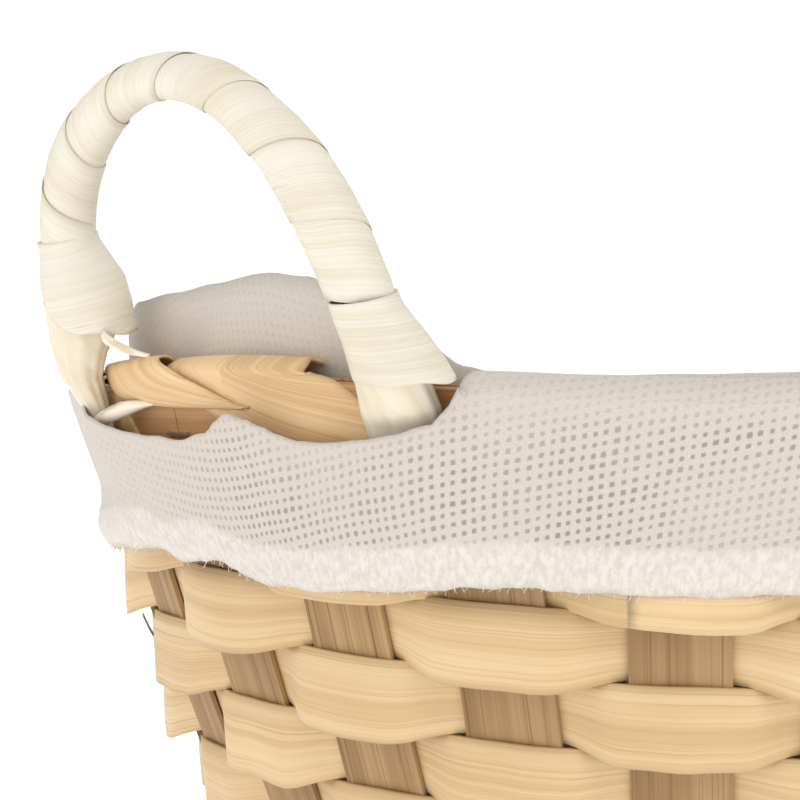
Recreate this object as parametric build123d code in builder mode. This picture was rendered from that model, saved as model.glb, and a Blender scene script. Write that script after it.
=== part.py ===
from build123d import *
import os
from math import asin, atan2, cos, degrees, hypot, pi, radians, sin, sqrt, tan

# A round bread basket of flat wood chip with two fixed loop handles and a cloth liner.
# Millimetres. The origin is the centre of the base at the height of the table, +Z is up, and the
# handles stand over the X axis. Angles round the basket are in degrees from +X.

# ---- driving dimensions ----
base_radius = 100.5       # middle of the weave at the table
rim_radius = 148.5        # middle of the weave at the top of the rim
wall_bow = 4.2            # how far the wall bulges outside a straight line from base to rim
rim_rise = 3.5            # how much higher the rim stands at the handles than between them
rise_power = 8            # how closely the rise keeps to the handles

strips_each_way = 6       # base strips along X, and as many along Y
lane_pitch = 24.0         # spacing of the strips where they cross in the base
stake_width = 20.0
stake_thickness = 1.0
turn_radius = 5.0         # bend where a base strip turns up into the wall

rows = 8
row_pitch = 14.0
row_gap = 0.3
first_joint = 20          # the stake at the joint of the lowest weaver; each next joint is 3 on
first_row = 4.5           # bottom edge of the lowest weaver
weaver_thickness = 0.9

hoop_height = 14.0
hoop_thickness = 2.0
lashing_thickness = 0.8
lashing_width = 13.0      # along the rim, where the strip comes over the top
lashing_bunch = 8.5       # along the rim, where it is gathered to pass between two stakes
lashing_fan = 3.5         # how early its lower edge and how late its upper edge comes down
lashing_lead = 0.05       # share of one turn that the strip spends inside the rim
outside_stops = 8         # flats that make up the outer part of a turn
lashing_clearance = 0.25

core_diameter = 7.5
wrap_thickness = 1.0
handle_flare = 1.65       # degrees, how much more the handle leans out than the wall does at the rim
handle_radius = 43.0      # bow of the handle, at the middle of the core
handle_rise = 61.0        # top of the core's middle line above its seat on the rim
leg_splay = 12.0          # degrees, each leg against the handle's middle line
foot_depth = 30.0         # how far each leg is thrust down below the top of the rim
cuff_height = 16.0
cuff_flare_along = 4.6    # how far the mouth of the last turn stands off the wrap along the rim
cuff_flare_across = 3.6   # and across the rim
cuff_thickness = 0.8
cuff_mouth = 1.5          # above the seat of the handle
strap_width = 13.0
strap_thickness = 0.6
strap_tuck = 1.2          # how far the strap reaches up inside the cuff

cloth_thickness = 1.0
panel_steps = 18          # flats round each of the liner's four side panels
skirt_length = 40.0       # from the fold down to the hem
skirt_slack = 1.5         # how far the skirt hangs clear of the rim
lip_height = 19.0         # cloth standing inside each handle, above the rim
lip_drop = 7.5            # top of the skirt below the rim at each handle
slot_half_angle = 24.0    # degrees, half of the slot in the fold at each handle
skirt_full = 27.0         # degrees each side of a handle over which the skirt clears its feet
skirt_ease = 10.0         # degrees over which the skirt then draws in to the rim
seam_gap = 0.3            # between two edges of cloth that are sewn together
seam_angle = 0.1          # degrees, half of the gap between two side panels of the liner

staple_span = 7.0
staple_wire = 0.7
staple_height = 3.2       # above the bottom of the hoop

clearance = 0.15          # between two flat chips that touch
cloth_clearance = 0.4
hole_clearance = 0.05     # round a staple leg

# ---- worked out from them ----
stake_count = 4 * strips_each_way
stake_step = 360 / stake_count
weave_offset = (stake_thickness + weaver_thickness) / 2 + clearance
mat_height = 1.5 * stake_thickness + clearance
mat_wave = stake_thickness + clearance
middle_lane = (strips_each_way - 1) / 2
crossing_half = stake_width / 2 + clearance
mat_edge = middle_lane * lane_pitch + crossing_half + mat_wave
rim_bottom = first_row + rows * row_pitch + lashing_thickness + clearance
rim_height = rim_bottom + hoop_height
hoop_offset = (stake_thickness + hoop_thickness) / 2 + clearance
hoop_face = hoop_offset + hoop_thickness / 2
facet_rise = (stake_width / 2) ** 2 / (2 * rim_radius)
lashing_offset = hoop_face + facet_rise + lashing_clearance + lashing_thickness / 2
lashing_face = lashing_offset + lashing_thickness / 2 + lashing_width**2 / (8 * rim_radius)
seat_level = rim_height + rim_rise + lashing_clearance + lashing_thickness
core_radius = core_diameter / 2
core_offset = lashing_face + clearance + core_radius
wrap_radius = core_radius + clearance + wrap_thickness
liner_offset = lashing_face + cloth_clearance + cloth_thickness / 2
strap_offset = core_radius + clearance + strap_thickness / 2
liner_low = mat_height + mat_wave + stake_thickness / 2 + cloth_clearance
outer_joint = 11          # the stake behind the joint of the outer hoop
inner_joint = 23          # the stake before the joint of the inner hoop
staple_reach = staple_span / 2
shoulder_x = handle_radius * cos(radians(leg_splay))
shoulder_y = handle_rise - handle_radius + handle_radius * sin(radians(leg_splay))
seat_x = shoulder_x + shoulder_y * tan(radians(leg_splay))


def wall_radius(height):
    """Radius of the middle of the weave."""
    share = height / rim_height
    return base_radius + (rim_radius - base_radius) * share + 4 * wall_bow * share * (1 - share)


def wall_slope(height):
    """Angle of the wall against the vertical, in radians."""
    return atan2(wall_radius(height + 1) - wall_radius(height - 1), 2)


def rise(angle, height):
    """How far a point of the level wall is lifted by the rise of the rim at the handles."""
    return rim_rise * cos(radians(angle)) ** rise_power * sin(pi / 2 * min(height / rim_height, 1))


def wall_point(angle, height, offset=0.0, facet=0.0):
    """A point on the wall, offset outwards. facet is the half angle of a flat that it ends."""
    lifted = height + rise(angle, height)
    slope = wall_slope(lifted)
    radius = (wall_radius(lifted) + offset * cos(slope)) / cos(radians(facet))
    turn = radians(angle)
    return Vector(radius * cos(turn), radius * sin(turn), lifted - offset * sin(slope))


def wall_normal(angle, height):
    """The direction straight out of the wall."""
    slope = wall_slope(height + rise(angle, height))
    return Vector(cos(slope), 0, -sin(slope)).rotate(Axis.Z, angle)


def stake_angle(stake):
    """Where a stake stands. Stake 0 is the first one past +X."""
    return (stake + 0.5) * stake_step


def along_rim(angle):
    """The direction round the basket at an angle."""
    return Vector(-sin(radians(angle)), cos(radians(angle)), 0)


def save(piece, name):
    """Labels one finished piece and writes its file."""
    piece.part.label = name
    export_step(piece.part, f"parts/{name}.step")


def ribbon(points, sides, widths, thickness):
    """A flat strip along points, whose width runs along sides."""
    last = len(points) - 1
    with BuildPart() as strip:
        for i, (point, side, width) in enumerate(zip(points, sides, widths)):
            step_on = points[i + 1] - point if i < last else point - points[i - 1]
            step_in = point - points[i - 1] if i > 0 else step_on
            ahead = side.cross(step_on).cross(side).normalized()
            behind = side.cross(step_in).cross(side).normalized()
            bend = radians(ahead.get_angle(behind))
            with BuildSketch(Plane(origin=point, x_dir=side, z_dir=ahead + behind)):
                Rectangle(width, thickness / cos(bend / 2))
        loft(ruled=True, clean=False)
    return strip


os.makedirs("parts", exist_ok=True)


# ---- base strips: each runs across the base and turns up at both ends as a stake ----
def strip_end(lane, quarter, end):
    """The end of a base strip that fans out of the woven base and turns up to the rim."""
    angle = (lane - middle_lane) * stake_step
    heading = quarter * 90 + (angle if end > 0 else 180 - angle)
    ahead = Vector(1, 0, 0).rotate(Axis.Z, quarter * 90) * end
    across = Vector(0, 1, 0).rotate(Axis.Z, quarter * 90)
    start = across * ((lane - middle_lane) * lane_pitch) + ahead * mat_edge + Vector(0, 0, mat_height)
    points = [start, start + ahead * stake_thickness]
    sides = [across, across]

    slope = wall_slope(mat_height)
    reach = turn_radius * (1 - sin(slope)) / cos(slope)
    corner = wall_point(heading, mat_height)
    flat_end = corner - Vector(reach, 0, 0).rotate(Axis.Z, heading)
    wall_start = wall_point(heading, mat_height + reach * cos(slope))
    points += [flat_end, (flat_end + corner * 2 + wall_start) * 0.25, wall_start]
    for row in range(1, rows + 1):
        points.append(wall_point(heading, first_row + row * row_pitch))
    points.append(wall_point(heading, rim_height))
    sides += [along_rim(heading) * end] * (len(points) - len(sides))
    return ribbon(points, sides, [stake_width] * len(points), stake_thickness)


def mat_line(lane, quarter):
    """The line of a strip through the woven base: straight along X, over and under along Y."""
    line = [(-mat_edge, mat_height)]
    for crossing in range(strips_each_way if quarter == 1 else 0):
        level = mat_height + (mat_wave if (lane + crossing) % 2 else -mat_wave)
        middle = (crossing - middle_lane) * lane_pitch
        line += [(middle - crossing_half, level), (middle + crossing_half, level)]
    return line + [(mat_edge, mat_height)]


def base_strip(lane, quarter):
    """A whole base strip, from the rim down one side, across and up the other side."""
    line = mat_line(lane, quarter)
    top = [(reach, level + stake_thickness / 2) for reach, level in line]
    bottom = [(reach, level - stake_thickness / 2) for reach, level in line[::-1]]
    ahead = Vector(1, 0, 0).rotate(Axis.Z, quarter * 90)
    across = Vector(0, 1, 0).rotate(Axis.Z, quarter * 90)
    lane_start = across * ((lane - middle_lane) * lane_pitch)
    ends = [strip_end(lane, quarter, end) for end in (-1, 1)]
    with BuildPart() as strip:
        with BuildSketch(Plane(origin=lane_start, x_dir=ahead, z_dir=-across)):
            with BuildLine():
                Polyline(*top, *bottom, close=True)
            make_face()
        extrude(amount=stake_width / 2, both=True)
        add(ends[0].part)
        add(ends[1].part)
    return strip


for lane in range(strips_each_way):
    save(base_strip(lane, 0), f"base_strip_x_{lane + 1}")
    save(base_strip(lane, 1), f"base_strip_y_{lane + 1}")


# ---- weavers and hoops: flat strips round the wall, straight across each stake ----
def wall_band(low, high, thickness, offset_at, first_stake):
    """A strip round the wall between two heights. Its ends meet on the first stake."""
    points, sides, widths = [], [], []
    flat = degrees(asin((crossing_half + clearance) / wall_radius(low)))
    stops = [(first_stake, 0.0), (first_stake, flat)]
    for stake in range(first_stake + 1, first_stake + stake_count):
        stops += [(stake, -flat), (stake, flat)]
    stops += [(first_stake + stake_count, -flat), (first_stake + stake_count, 0.0)]
    for stake, turn in stops:
        angle = stake_angle(stake) + turn
        bottom = wall_point(angle, low, offset_at(stake), turn)
        top = wall_point(angle, high, offset_at(stake), turn)
        points.append((bottom + top) * 0.5)
        sides.append(top - bottom)
        widths.append((top - bottom).length)
    points[0] += along_rim(stake_angle(first_stake)) * clearance
    points[-1] -= along_rim(stake_angle(first_stake)) * clearance
    return ribbon(points, sides, widths, thickness)


for row in range(rows):
    low = first_row + row * row_pitch
    weaver = wall_band(
        low,
        low + row_pitch - row_gap,
        weaver_thickness,
        lambda stake: -weave_offset if (stake + row) % 2 else weave_offset,
        first_joint + 3 * row,
    )
    save(weaver, f"weaver_{row + 1}")


# ---- rim hoops: one inside and one outside the stake ends, each closed by a wire staple ----
def staple_plane(joint_stake, face):
    """The face of a hoop at its joint. face is 1 outside and -1 inside; Z points out of it."""
    angle = stake_angle(joint_stake)
    level = rim_bottom + staple_height
    middle = wall_point(angle, level, face * hoop_face)
    return Plane(origin=middle, x_dir=along_rim(angle), z_dir=wall_normal(angle, level) * face)


def rim_hoop(joint_stake, face):
    """A hoop whose ends butt together, each with a small hole for a leg of its staple."""
    band = wall_band(rim_bottom, rim_height, hoop_thickness, lambda stake: face * hoop_offset, joint_stake)
    with BuildPart() as hoop:
        add(band.part)
        with BuildSketch(staple_plane(joint_stake, face)):
            with Locations((-staple_reach, 0), (staple_reach, 0)):
                Rectangle(staple_wire + 2 * hole_clearance, staple_wire + 2 * hole_clearance)
        extrude(amount=2 * hoop_thickness, both=True, mode=Mode.SUBTRACT)
    return hoop


save(rim_hoop(outer_joint, 1), "rim_hoop_outer")
save(rim_hoop(inner_joint, -1), "rim_hoop_inner")

with BuildPart() as rim_staples:
    for joint_stake, face in ((outer_joint, 1), (inner_joint, -1)):
        crown_plane = staple_plane(joint_stake, face).offset(hole_clearance)
        with BuildSketch(crown_plane):
            Rectangle(2 * staple_reach + staple_wire, staple_wire)
        extrude(amount=staple_wire)
        with BuildSketch(crown_plane):
            with Locations((-staple_reach, 0), (staple_reach, 0)):
                Rectangle(staple_wire, staple_wire)
        extrude(amount=-hoop_thickness)
save(rim_staples, "rim_staples")


# ---- rim lashing: one strip wound round both hoops, passing between every other two stakes ----
lashing_top = rim_height + lashing_clearance + lashing_thickness / 2
lashing_low = rim_bottom - clearance - lashing_thickness / 2
lashing_step = 2 * stake_step
points, sides, widths = [], [], []
for turn in range(stake_count // 2):
    start = (2 * turn + 1) * stake_step
    stops = [(start, lashing_bunch, -1, 1, 1)]
    for face in (-1, 0):
        angle = start + lashing_step * lashing_lead * (2 + face) / 3
        stops.append((angle, lashing_width, face, 0, 0))
    for stop in range(outside_stops + 1):
        share = stop / outside_stops
        lower = 1 - (1 - share) ** lashing_fan
        upper = share**lashing_fan
        spread = lashing_width * (1 - lower) + lashing_bunch * upper
        angle = start + lashing_step * (lashing_lead + (1 - lashing_lead) * share)
        stops.append((angle, spread, 1, lower, upper))
    stops.append((start + lashing_step, lashing_bunch, 0, 1, 1))
    for angle, spread, face, lower, upper in stops:
        half = degrees(spread / 2 / rim_radius)
        first_height = lashing_top + (lashing_low - lashing_top) * lower
        other_height = lashing_top + (lashing_low - lashing_top) * upper
        first_edge = wall_point(angle - half, first_height, face * lashing_offset)
        other_edge = wall_point(angle + half, other_height, face * lashing_offset)
        points.append((first_edge + other_edge) * 0.5)
        sides.append(other_edge - first_edge)
        widths.append((other_edge - first_edge).length)
save(ribbon(points, sides, widths, lashing_thickness), "rim_lashing")


# ---- handles: a bent core, a wound leaf wrap, and a cuff and a strap at each foot ----
seat_radius = wall_radius(seat_level) + core_offset / cos(wall_slope(seat_level))
seat_reach = sqrt(seat_radius**2 - seat_x**2)


def handle_plane(side):
    """The leaning plane of a handle, with Y up the handle. side is 1 at +X and -1 at -X."""
    lean = wall_slope(rim_height) + radians(handle_flare)
    origin = Vector(side * seat_reach, 0, seat_level)
    normal = Vector(side * cos(lean), 0, -sin(lean))
    return Plane(origin=origin, x_dir=(0, side, 0), z_dir=normal)


def leg_point(height, half=1):
    """A point of a leg's middle line in the handle's plane. half is 1 or -1."""
    return (half * (shoulder_x + (shoulder_y - height) * tan(radians(leg_splay))), height)


def leg_plane(side, half, height):
    """A plane across a leg, with X along the rim, Y into the basket and Z up the leg."""
    plane = handle_plane(side)
    up = Vector(-half * sin(radians(leg_splay)), cos(radians(leg_splay)), 0)
    middle = plane.from_local_coords(leg_point(height, half))
    turn = degrees(atan2(middle.Y, middle.X))
    return Plane(origin=middle, x_dir=along_rim(turn), z_dir=plane.from_local_coords(up) - plane.origin)


def handle_sweep(side, end_height, outer, inner):
    """A rod or a tube along the handle, from a height on one leg to the same on the other."""
    with BuildPart() as piece:
        with BuildLine(handle_plane(side)) as path:
            Line(leg_point(end_height), (shoulder_x, shoulder_y))
            ThreePointArc((shoulder_x, shoulder_y), (0, handle_rise), (-shoulder_x, shoulder_y))
            Line((-shoulder_x, shoulder_y), leg_point(end_height, -1))
        with BuildSketch(Plane(origin=path.line @ 0, z_dir=path.line % 0)):
            Circle(outer)
            if inner:
                Circle(inner, mode=Mode.SUBTRACT)
        sweep(path=path.line)
    return piece


def cuff(side, half):
    """The flared last turn of leaf round a leg, open at its mouth."""
    inside = wrap_radius - cuff_thickness
    with BuildPart() as shell:
        for skin, mode in ((cuff_thickness, Mode.ADD), (0.0, Mode.SUBTRACT)):
            with BuildSketch(leg_plane(side, half, cuff_mouth)):
                Ellipse(inside + cuff_flare_along + skin, inside + cuff_flare_across + skin)
            with BuildSketch(leg_plane(side, half, cuff_mouth + cuff_height)):
                Ellipse(wrap_radius + clearance + skin, wrap_radius + clearance + skin)
            loft(mode=mode)
    return shell


def foot_strap(side, half):
    """The leaf strip that runs from the mouth of a cuff down over the foot of the core."""
    with BuildPart() as strap:
        with BuildSketch(leg_plane(side, half, -foot_depth)):
            with Locations((0, -strap_offset)):
                Rectangle(strap_width, strap_thickness)
        extrude(amount=(foot_depth + cuff_mouth + strap_tuck) / cos(radians(leg_splay)))
    return strap


for side, end_name in ((1, "right"), (-1, "left")):
    save(handle_sweep(side, -foot_depth, core_radius, 0.0), f"handle_core_{end_name}")
    save(
        handle_sweep(side, cuff_mouth + 2 * strap_tuck, wrap_radius, core_radius + clearance),
        f"handle_wrap_{end_name}",
    )
    for half, corner in ((side, "back"), (-side, "front")):
        save(cuff(side, half), f"handle_cuff_{end_name}_{corner}")
        save(foot_strap(side, half), f"foot_strap_{end_name}_{corner}")


# ---- liner: a round base, and four side panels that fold over the rim and hang as a skirt ----
lashing_peak = rim_height + lashing_clearance + lashing_thickness + lashing_face * sin(wall_slope(rim_height))
fold_height = lashing_peak + cloth_clearance
foot = leg_plane(1, 1, -foot_depth).from_local_coords((-strap_width / 2, -strap_offset - strap_thickness))
skirt_near = liner_offset + skirt_slack
skirt_far = hypot(foot.X, foot.Y) - wall_radius(foot.Z) + 2 * cloth_clearance + cloth_thickness / 2


def skirt_offset(angle):
    """How far the middle of the skirt stands off the wall. It clears the feet of the handles."""
    past = min(angle % 180, 180 - angle % 180) - skirt_full
    ease = (1 + cos(pi * min(max(past / skirt_ease, 0), 1))) / 2
    return skirt_near + (skirt_far - skirt_near) * ease


def lip(angle):
    """How far the cloth stands above its fold inside a handle."""
    off_centre = min(angle % 180, 180 - angle % 180)
    return lip_height * cos(pi / 2 * min(off_centre / slot_half_angle, 1)) ** 2


def liner_section(angle):
    """The outline of the cloth across the rim, as pairs of radius and height."""
    half = cloth_thickness / 2
    inner, outer = [], []
    for level in (liner_low, fold_height / 3, fold_height * 2 / 3, fold_height):
        standing = lip(angle) if level == fold_height else 0.0
        height = level + rise(angle, level) + standing
        radius = wall_radius(height) - liner_offset
        inner.append((radius - half, height + (cloth_thickness if level == fold_height else 0)))
        outer.append((radius + half, height))
    top = fold_height + rise(angle, fold_height) + lip(angle)
    hem = fold_height - skirt_length
    over = wall_radius(top) + skirt_offset(angle)
    under = wall_radius(hem) + skirt_offset(angle)
    skirt = [(over + half, top + cloth_thickness), (under + half, hem), (under - half, hem)]
    return inner + skirt + [(over - half, top)] + outer[::-1]


def slot_space(turn):
    """The space that opens the fold at the handle at this angle."""
    slot_low = rim_height - lip_drop
    slot_high = fold_height + lip_height + 2 * rim_rise
    near_low = wall_radius(slot_low) - liner_offset + 1.5 * cloth_thickness
    near_high = wall_radius(slot_high) - liner_offset + 1.5 * cloth_thickness
    with BuildPart() as space:
        with BuildSketch(Plane.XZ.rotated((0, 0, turn - slot_half_angle))):
            with BuildLine():
                Polyline(
                    (near_low, slot_low),
                    (near_high, slot_high),
                    (2 * rim_radius, slot_high),
                    (2 * rim_radius, slot_low),
                    close=True,
                )
            make_face()
        revolve(axis=Axis.Z, revolution_arc=2 * slot_half_angle)
    return space.part


def liner_panel(turn, has_slot):
    """A quarter of the liner's side, with the angle of its middle line."""
    with BuildPart() as panel:
        for step in range(panel_steps + 1):
            angle = turn - 45 + seam_angle + (90 - 2 * seam_angle) * step / panel_steps
            radial = Vector(cos(radians(angle)), sin(radians(angle)), 0)
            with BuildSketch(Plane(origin=(0, 0, 0), x_dir=radial, z_dir=-along_rim(angle))):
                with BuildLine():
                    Polyline(*liner_section(angle), close=True)
                make_face()
        loft(ruled=True, clean=False)
        if has_slot:
            add(slot_space(turn), mode=Mode.SUBTRACT)
    return panel


for turn, panel_name in ((0, "right"), (90, "back"), (180, "left"), (270, "front")):
    save(liner_panel(turn, turn % 180 == 0), f"liner_side_{panel_name}")

with BuildPart() as liner_base:
    with BuildSketch(Plane.XY.offset(liner_low)):
        Circle(wall_radius(liner_low) - liner_offset - cloth_thickness / 2 - seam_gap)
    extrude(amount=cloth_thickness)
save(liner_base, "liner_base")
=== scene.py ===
from math import cos, pi, radians, sin, sqrt, tanh

import bmesh
import bpy
import numpy as np
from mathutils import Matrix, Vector, noise


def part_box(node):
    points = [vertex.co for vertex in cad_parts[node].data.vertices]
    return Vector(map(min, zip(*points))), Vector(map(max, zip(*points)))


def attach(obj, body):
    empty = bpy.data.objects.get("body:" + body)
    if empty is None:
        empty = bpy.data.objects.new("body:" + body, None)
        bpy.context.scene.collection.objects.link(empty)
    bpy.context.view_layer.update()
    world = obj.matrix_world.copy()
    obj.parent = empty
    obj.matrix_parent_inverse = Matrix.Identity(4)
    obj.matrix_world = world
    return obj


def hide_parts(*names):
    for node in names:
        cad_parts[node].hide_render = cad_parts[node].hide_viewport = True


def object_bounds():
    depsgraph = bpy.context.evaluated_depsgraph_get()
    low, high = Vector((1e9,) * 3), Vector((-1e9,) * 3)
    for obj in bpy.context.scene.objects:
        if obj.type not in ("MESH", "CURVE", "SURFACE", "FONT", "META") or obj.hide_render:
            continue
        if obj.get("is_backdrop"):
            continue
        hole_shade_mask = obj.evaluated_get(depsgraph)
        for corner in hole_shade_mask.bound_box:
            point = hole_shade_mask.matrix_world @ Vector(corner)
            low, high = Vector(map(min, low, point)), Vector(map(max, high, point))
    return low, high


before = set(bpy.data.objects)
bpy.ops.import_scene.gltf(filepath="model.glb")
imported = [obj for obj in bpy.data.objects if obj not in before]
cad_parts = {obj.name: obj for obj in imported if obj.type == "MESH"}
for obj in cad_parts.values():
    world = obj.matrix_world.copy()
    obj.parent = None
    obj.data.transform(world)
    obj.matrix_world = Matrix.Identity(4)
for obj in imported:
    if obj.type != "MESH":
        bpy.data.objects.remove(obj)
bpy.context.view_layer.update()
scene = bpy.context.scene


# ---- camera ----
# The basket is seen from just above its rim, from the side of the handle at -X and a little to the
# front of it, so that the handle stands left of the middle and the wall runs out on the right.
eye_turn = radians(219.0)
eye_distance = 0.608
eye_height = 0.1366
look_left = 6.95
look_down = 0.705
lens_mm = 110.5

camera = bpy.data.objects.new("camera", bpy.data.cameras.new("camera"))
camera.data.lens = lens_mm
camera.data.sensor_width = 36.0
camera.location = (eye_distance * cos(eye_turn), eye_distance * sin(eye_turn), eye_height)
camera.rotation_euler = (radians(90 - look_down), 0, eye_turn - radians(270 - look_left))
scene.collection.objects.link(camera)
scene.camera = camera


# ---- floor and light ----
# A plain white sweep under and behind the basket, one large soft lamp from the upper left, a weaker
# one from the right and an even white surround, as in a small product studio.
def plain_mesh(name, points, faces, smooth=True):
    """A mesh object made of points and faces."""
    mesh = bpy.data.meshes.new(name)
    mesh.from_pydata([tuple(p) for p in points], [], faces)
    mesh.polygons.foreach_set("use_smooth", [smooth] * len(faces))
    mesh.update()
    obj = bpy.data.objects.new(name, mesh)
    scene.collection.objects.link(obj)
    return obj


def feed(node, inputs):
    """Fills inputs of a node, given by name or place: a socket or a field is linked, a value is set."""
    for key, value in inputs.items():
        value = getattr(value, "socket", value)
        if isinstance(value, bpy.types.NodeSocket):
            node.id_data.links.new(value, node.inputs[key])
        else:
            node.inputs[key].default_value = value


def add(tree, kind, inputs=None, **settings):
    """A new node with its settings and its inputs."""
    node = tree.nodes.new(kind)
    for key, value in settings.items():
        setattr(node, key, value)
    feed(node, inputs or {})
    return node


def new_material(name, roughness):
    """A material with one Principled shader. Returns it with its node tree and its shader."""
    material = bpy.data.materials.new(name)
    material.use_nodes = True
    shader = material.node_tree.nodes["Principled BSDF"]
    feed(shader, {"Roughness": roughness})
    return material, material.node_tree, shader


floor_half = 6.0
floor = plain_mesh(
    "floor",
    [(x * floor_half, y * floor_half, 0) for x, y in ((-1, -1), (1, -1), (1, 1), (-1, 1))],
    [(0, 1, 2, 3)],
    smooth=False,
)
floor_white, tree, shader = new_material("floor_white", 0.9)
where = add(tree, "ShaderNodeTexCoord").outputs["Object"]
speck = add(tree, "ShaderNodeTexNoise", {"Scale": 40.0, "Vector": where})
tone = add(tree, "ShaderNodeMapRange", {"To Min": 0.88, "To Max": 0.90, "Value": speck.outputs["Fac"]})
feed(shader, {"Base Color": tone.outputs["Result"], "Emission Color": (1, 1, 1, 1), "Emission Strength": 0.46})
floor.data.materials.append(floor_white)
floor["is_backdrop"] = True

world = bpy.data.worlds.new("studio")
world.use_nodes = True
tree = world.node_tree
surround = tree.nodes["Background"]
feed(surround, {"Color": (1.0, 0.985, 0.96, 1), "Strength": 0.80})
backdrop = add(tree, "ShaderNodeBackground", {"Color": (1, 1, 1, 1), "Strength": 1.1})
seen = add(tree, "ShaderNodeLightPath").outputs["Is Camera Ray"]
either = add(tree, "ShaderNodeMixShader", {"Fac": seen, 1: surround.outputs[0], 2: backdrop.outputs[0]})
feed(tree.nodes["World Output"], {"Surface": either.outputs[0]})
scene.world = world
scene.view_settings.view_transform = "Standard"


def soft_lamp(name, place, target, size, power):
    """A square area lamp that shines from place to target."""
    lamp = bpy.data.objects.new(name, bpy.data.lights.new(name, "AREA"))
    lamp.data.size = size
    lamp.data.energy = power
    lamp.location = place
    lamp.rotation_euler = (Vector(target) - Vector(place)).to_track_quat("-Z", "Y").to_euler()
    scene.collection.objects.link(lamp)


soft_lamp("key_lamp", (-0.5, -1.5, 1.2), (0, 0, 0.1), 1.0, 5.4)
soft_lamp("fill_lamp", (-1.6, 0.3, 0.9), (0, 0, 0.1), 1.2, 2.8)


# ---- base strips and stakes ----
# Twelve flat strips of split chip, crossed over and under as the base and bent up as the stakes of
# the wall. They are rift cut, darker than the weavers, with strong straight grain along the strip.
class Field:
    """A number in a node tree, for writing a formula as nodes."""

    def __init__(self, tree, socket):
        self.tree, self.socket = tree, socket

    def math(self, operation, *others):
        node = add(self.tree, "ShaderNodeMath", dict(enumerate((self, *others))), operation=operation)
        return Field(self.tree, node.outputs[0])

    def __add__(self, other):
        return self.math("ADD", other)

    def __sub__(self, other):
        return self.math("SUBTRACT", other)

    def __mul__(self, other):
        return self.math("MULTIPLY", other)

    def __truediv__(self, other):
        return self.math("DIVIDE", other)

    def ramp(self, low, high, to_low=0.0, to_high=1.0):
        """Turns low..high into to_low..to_high, smoothly and no further."""
        inputs = dict(enumerate((self, low, high, to_low, to_high)))
        node = add(self.tree, "ShaderNodeMapRange", inputs, interpolation_type="SMOOTHSTEP")
        return Field(self.tree, node.outputs[0])


def vector_of(tree, *parts):
    """Three numbers as one vector socket."""
    return add(tree, "ShaderNodeCombineXYZ", dict(enumerate(parts))).outputs[0]


def split_vector(socket):
    """A vector socket as three fields."""
    tree = socket.id_data
    return [Field(tree, out) for out in add(tree, "ShaderNodeSeparateXYZ", {0: socket}).outputs]


def object_place(tree):
    """The shaded place on the object, as a socket."""
    return add(tree, "ShaderNodeTexCoord").outputs["Object"]


def noise_field(tree, vector, detail=2.0, roughness=0.5, scale=1.0):
    """Noise at a vector, about 0 to 1."""
    inputs = {"Vector": vector, "Scale": scale, "Detail": detail, "Roughness": roughness}
    return Field(tree, add(tree, "ShaderNodeTexNoise", inputs).outputs["Fac"])


def noise_at(x, y, z, detail=2.0, roughness=0.5):
    """Noise at three numbers, the first of which is a field."""
    return noise_field(x.tree, vector_of(x.tree, x, y, z), detail, roughness)


def mixed(share, first, second):
    """A colour between two colours, or colour sockets."""
    first, second = ((*colour, 1) if isinstance(colour, tuple) else colour for colour in (first, second))
    return add(share.tree, "ShaderNodeMix", {"Factor": share, 6: first, 7: second}, data_type="RGBA").outputs[2]


def surface(shader, colour, height, depth):
    """Gives a shader its colour and a bump."""
    bump = add(shader.id_data, "ShaderNodeBump", {"Distance": depth, "Height": height})
    feed(shader, {"Base Color": colour, "Normal": bump.outputs["Normal"]})


def wood_chip(name, place, pale, deep, streak, pore, depth, roughness=0.6, lines=1900.0):
    """Shaved wood. place(tree) gives metres along the grain, metres across it and a piece number."""
    material, tree, shader = new_material(name, roughness)
    along, across, number = place(tree)
    fine = noise_at(along * 7, across * lines, number * 3.1, 3, 0.6)
    broad = noise_at(along * 2.5, across * (lines * 0.15), number * 7.7, 2, 0.5)
    cloudy = noise_at(along * 26, across * 60, number * 1.9, 2, 0.5)
    whole = noise_at(along * 3, number * 5.3, 0.5, 1, 0.5)
    body = mixed((broad * 0.65 + cloudy * 0.35).ramp(0.36, 0.66), pale, deep)
    lined = mixed(fine.ramp(0.52, 0.74, 0, streak), body, pore)
    toned = mixed(whole.ramp(0.35, 0.7, 0, 0.3), lined, deep)
    surface(shader, toned, fine * -0.6 + broad * 0.4, depth)
    feed(shader, {"Roughness": fine.ramp(0.3, 0.7, roughness - 0.1, roughness + 0.14)})
    return material


def repaint(node_name, material):
    """Gives a solid of the frame a new material."""
    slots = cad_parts[node_name].data.materials
    slots.clear()
    slots.append(material)


stake_step = 15.0
base_edge = 0.099


def stake_place(base_axis):
    """Along and across the grain of the base strips that run along X (0) or along Y (1)."""

    def place(tree):
        x, y, z = split_vector(object_place(tree))
        radius = (x * x + y * y).math("SQRT")
        turn = y.math("ARCTAN2", x) * (180 / pi / stake_step) - 0.5
        stake = turn.math("ROUND")
        on_wall = radius.math("GREATER_THAN", base_edge)
        across_base, along_base = (y, x) if base_axis == 0 else (x, y)
        wall_across = (turn - stake) * radius * radians(stake_step)
        across = on_wall * wall_across + (on_wall * -1 + 1) * across_base
        along = on_wall * z + (on_wall * -1 + 1) * along_base
        return along, across, stake * on_wall + (across_base * 42).math("ROUND") * (on_wall * -1 + 1)

    return place


for base_axis, letter in ((0, "x"), (1, "y")):
    stake_chip = wood_chip(
        f"stake_chip_{letter}", stake_place(base_axis), streak=0.85, depth=0.00035,
        pale=(0.49, 0.315, 0.145), deep=(0.31, 0.18, 0.07), pore=(0.15, 0.075, 0.028),
    )
    for lane in range(6):
        repaint(f"base_strip_{letter}_{lane + 1}", stake_chip)


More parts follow.
